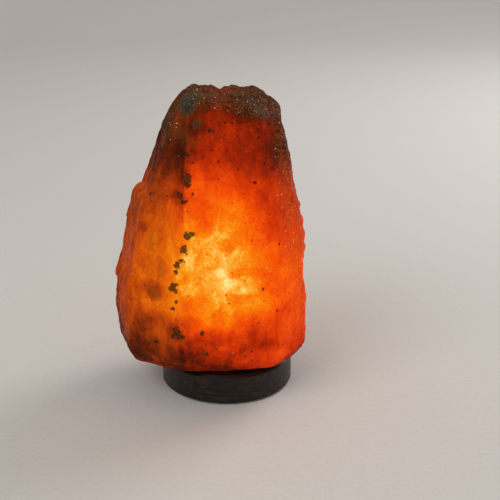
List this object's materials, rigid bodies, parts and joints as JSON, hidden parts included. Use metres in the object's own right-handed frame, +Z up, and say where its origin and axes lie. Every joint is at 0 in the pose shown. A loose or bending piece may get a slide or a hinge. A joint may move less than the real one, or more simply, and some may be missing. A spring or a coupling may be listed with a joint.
{
  "type": "salt crystal lamp",
  "caption": "Rough-hewn rock-salt block, bored for a small bulb on a clip-in holder, standing on a round dark wooden base and glowing from inside.",
  "frame": {"origin": "on the surface that the lamp stands on, under the middle of its box; the base, bore and bulb share an upright axis 12 mm to the right, because the rock overhangs its base to the left", "axes": "+Z up, -Y towards the pictured front, +X to the right in the picture; the cord groove runs out to the back, +Y"},
  "size_m": [0.146, 0.124, 0.2294],
  "materials": {
    "salt": "rough crystalline salt, lit from inside",
    "stained_wood": "dark stain, satin lacquer",
    "pads": "matt",
    "zinc": "zinc plated",
    "spring_steel": "bright",
    "brass": "plain",
    "holder": "white moulded",
    "porcelain": "unglazed",
    "solder": "solder",
    "insulator": "black glass",
    "nickel": "nickel plated",
    "bulb_glass": "clear",
    "stem_glass": "clear",
    "lead_wire": "plain",
    "filament": "glowing"
  },
  "bodies": {
    "lamp": {"salt_rock": "salt", "wooden_base": "stained_wood", "foot_pads": "pads", "base_screws": "zinc"},
    "holder": {"clip_plate": "spring_steel", "cord_nipple": "brass", "nipple_nut": "brass", "holder_cap": "holder", "holder_shell": "holder", "contact_insert": "porcelain", "screw_sleeve": "brass", "centre_contact": "brass"},
    "clip_1": {"spring_clip_1": "spring_steel"},
    "clip_2": {"spring_clip_2": "spring_steel"},
    "clip_3": {"spring_clip_3": "spring_steel"},
    "bulb": {"bulb_tip": "solder", "cap_insulator": "insulator", "bulb_cap": "nickel", "bulb_glass": "bulb_glass", "glass_stem": "stem_glass", "lead_wires": "lead_wire", "filament": "filament"}
  },
  "joints": [
    {"name": "holder_release", "type": "slide", "parent": "lamp", "child": "holder", "axis": [0, 0, -1], "range_m": [0, 0.14]},
    {"name": "clip_1_flex", "type": "hinge", "parent": "holder", "child": "clip_1", "pos_m": [0.012, 0.0188, 0.0135], "axis": [1, 0, 0], "range_deg": [0, 5], "stiffness_Nm_per_rad": 0.05},
    {"name": "clip_2_flex", "type": "hinge", "parent": "holder", "child": "clip_2", "pos_m": [-0.00428, -0.0094, 0.0135], "axis": [-0.5, 0.866, 0], "range_deg": [0, 5], "stiffness_Nm_per_rad": 0.05},
    {"name": "clip_3_flex", "type": "hinge", "parent": "holder", "child": "clip_3", "pos_m": [0.02828, -0.0094, 0.0135], "axis": [-0.5, -0.866, 0], "range_deg": [0, 5], "stiffness_Nm_per_rad": 0.05},
    {"name": "bulb_unscrew", "type": "slide", "parent": "holder", "child": "bulb", "axis": [0, 0, 1], "range_m": [0, 0.03]}
  ]
}
